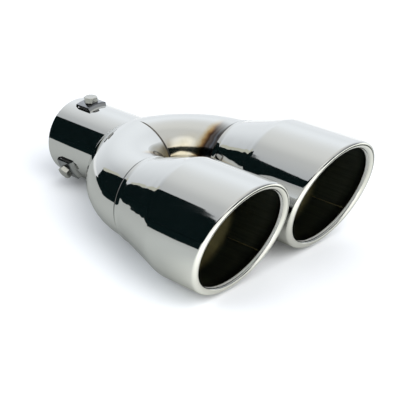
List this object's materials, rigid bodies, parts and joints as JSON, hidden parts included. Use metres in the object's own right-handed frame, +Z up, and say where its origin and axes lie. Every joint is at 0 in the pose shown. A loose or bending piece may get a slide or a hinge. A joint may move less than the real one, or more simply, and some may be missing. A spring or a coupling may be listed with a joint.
{
  "type": "twin-outlet exhaust tip",
  "caption": "Polished twin-outlet exhaust tip: a clamp-on inlet pipe with lanced bolt lugs forks through mitred elbows into slash-cut tips with rolled lips.",
  "frame": {"origin": "centre of the inlet pipe's open end", "axes": "+Y along the pipe from the inlet to the outlets, +Z up, the two tips side by side along X"},
  "size_m": [0.183, 0.2419, 0.089],
  "materials": {
    "polished_steel": "mirror-polished stainless steel, brushed inside",
    "weld_steel": "weld bead with heat tint",
    "bolt_steel": "plain stainless"
  },
  "bodies": {
    "root": {"inlet_pipe": "polished_steel", "right_elbow": "polished_steel", "left_elbow": "polished_steel", "right_tip": "polished_steel", "left_tip": "polished_steel", "right_neck_weld": "weld_steel", "left_neck_weld": "weld_steel", "bolt_top": "bolt_steel", "bolt_right": "bolt_steel", "bolt_left": "bolt_steel", "nut_top": "bolt_steel", "nut_right": "bolt_steel", "nut_left": "bolt_steel"}
  },
  "joints": []
}
